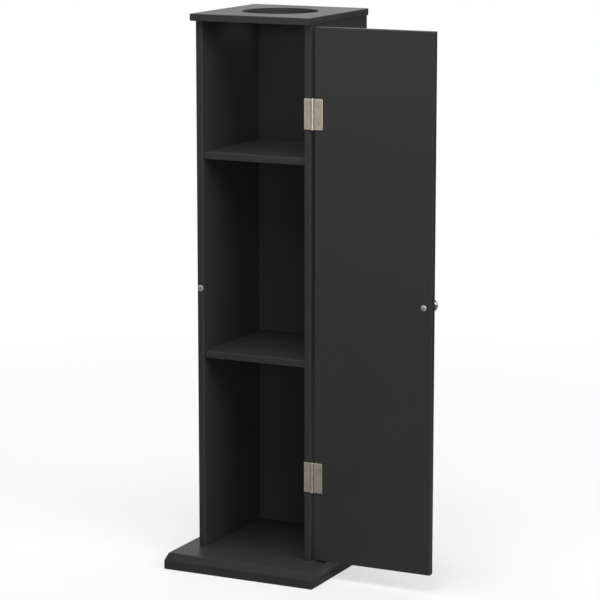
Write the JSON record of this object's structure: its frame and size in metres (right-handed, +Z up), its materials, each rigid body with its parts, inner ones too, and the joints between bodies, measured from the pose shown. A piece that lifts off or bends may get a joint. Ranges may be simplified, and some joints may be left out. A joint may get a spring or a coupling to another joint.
{
  "type": "toilet roll storage cabinet",
  "caption": "Tall slim free-standing cabinet of painted board with a bevelled base, open bays behind one hinged door, and a round hole in the top board.",
  "frame": {"origin": "middle of the base board's footprint, on the floor", "axes": "+X to the right and -Y to the front as one stands before the cabinet, +Z up"},
  "size_m": [0.3451, 0.21, 0.7],
  "materials": {
    "board_paint": "fibreboard sprayed near-black, satin",
    "hinge_nickel": "satin nickel plate on steel",
    "pin_steel": "nickel plated steel, drawn",
    "hinge_screw_nickel": "satin nickel plate on steel",
    "sleeve_steel": "bright plated steel",
    "magnet": "dull nickel plate",
    "knob_steel": "turned, satin",
    "screw_steel": "zinc plated",
    "dowel_wood": "raw beech"
  },
  "bodies": {
    "cabinet": {"base_board": "board_paint", "left_side_panel": "board_paint", "right_side_panel": "board_paint", "back_panel": "board_paint", "upper_shelf": "board_paint", "lower_shelf": "board_paint", "top_board": "board_paint", "upper_hinge_frame_leaf": "hinge_nickel", "lower_hinge_frame_leaf": "hinge_nickel", "upper_hinge_pin": "pin_steel", "lower_hinge_pin": "pin_steel", "hinge_frame_screws": "hinge_screw_nickel", "magnet_sleeve": "sleeve_steel", "catch_magnet": "magnet", "base_screws": "screw_steel", "base_dowels": "dowel_wood", "top_dowels": "dowel_wood", "shelf_dowels": "dowel_wood"},
    "door": {"door_panel": "board_paint", "upper_hinge_door_leaf": "hinge_nickel", "lower_hinge_door_leaf": "hinge_nickel", "hinge_door_screws": "hinge_screw_nickel", "door_knob": "knob_steel", "knob_screw": "screw_steel"}
  },
  "joints": [
    {"name": "door_hinge", "type": "hinge", "parent": "cabinet", "child": "door", "pos_m": [0.08155, -0.05815, 0.356], "axis": [0, 0, -1], "range_deg": [-25, 180]}
  ]
}
